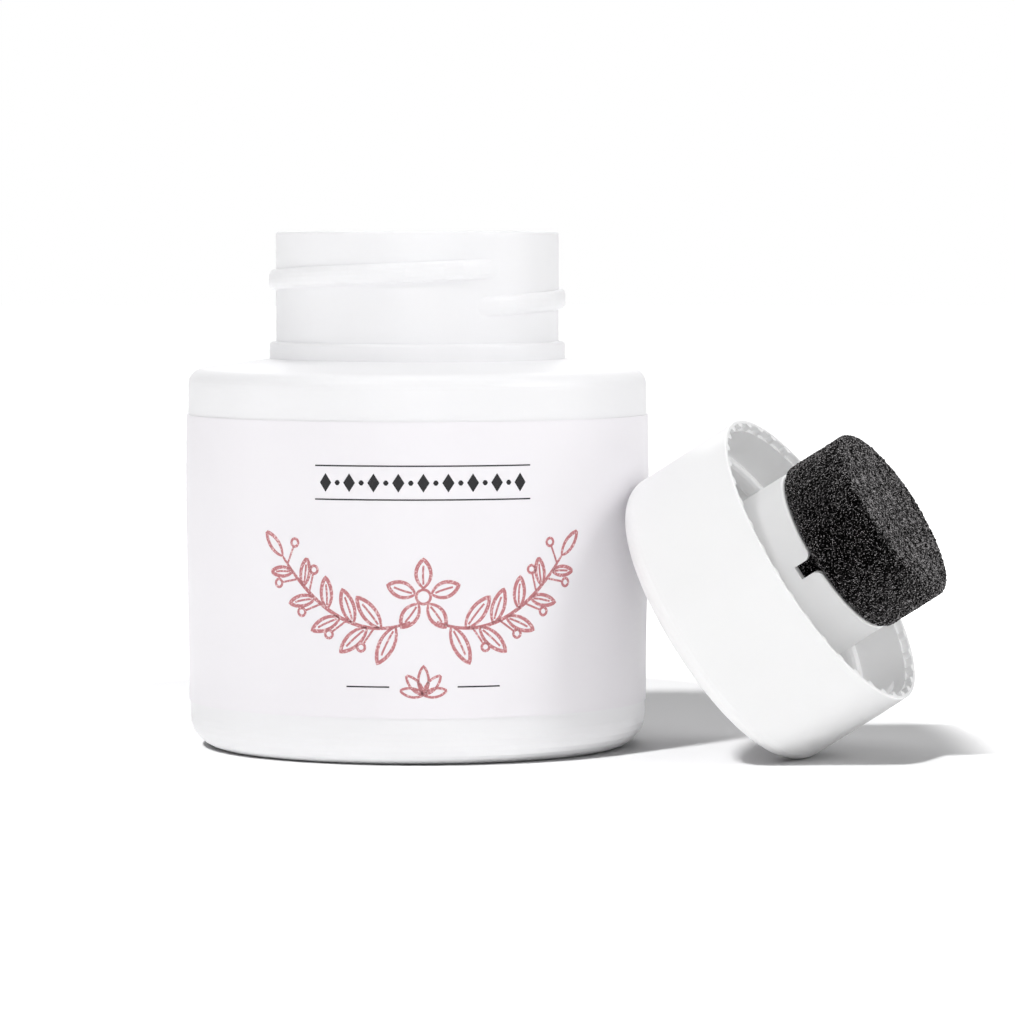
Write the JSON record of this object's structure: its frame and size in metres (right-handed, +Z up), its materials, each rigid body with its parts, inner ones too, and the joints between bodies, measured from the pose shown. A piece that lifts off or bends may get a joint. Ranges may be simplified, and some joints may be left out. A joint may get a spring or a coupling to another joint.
{
  "type": "sponge applicator jar",
  "caption": "Squat round screw-neck jar with its cap off and leaning on it; a slotted cup in the cap holds a round foam sponge.",
  "frame": {"origin": "centre of the jar's base on the jar's axis", "axes": "+Z up along the jar's axis; -Y towards the front of the label; the cap leans on the right, +X, side"},
  "size_m": [0.0807, 0.0576, 0.0556],
  "materials": {
    "jar_plastic": "white moulded polyethylene, satin",
    "label_film": "white printed film, satin",
    "cap_plastic": "white moulded polypropylene, satin",
    "seal_foam": "white closed-cell foam",
    "holder_plastic": "white moulded polypropylene, satin",
    "sponge_foam": "black open-cell foam",
    "rose_ink": "dusty rose ink printed on the label's film",
    "black_ink": "black ink printed on the label's film"
  },
  "bodies": {
    "jar": {"jar_body": "jar_plastic", "wrap_label": "label_film"},
    "liner": {"seal_ring": "seal_foam"},
    "cap": {"cap_shell": "cap_plastic", "sponge_holder": "holder_plastic", "sponge": "sponge_foam"}
  },
  "joints": [
    {"name": "cap_swing", "type": "hinge", "parent": "jar", "child": "liner", "pos_m": [0.03334, -0.0128, 0.0572], "axis": [-0.3584, -0.9336, 0], "range_deg": [0, 237.7]},
    {"name": "cap_turn", "type": "hinge", "parent": "liner", "child": "cap", "pos_m": [0.04256, -0.01634, 0.02119], "axis": [0.7891, -0.3029, 0.5344], "continuous": true}
  ]
}
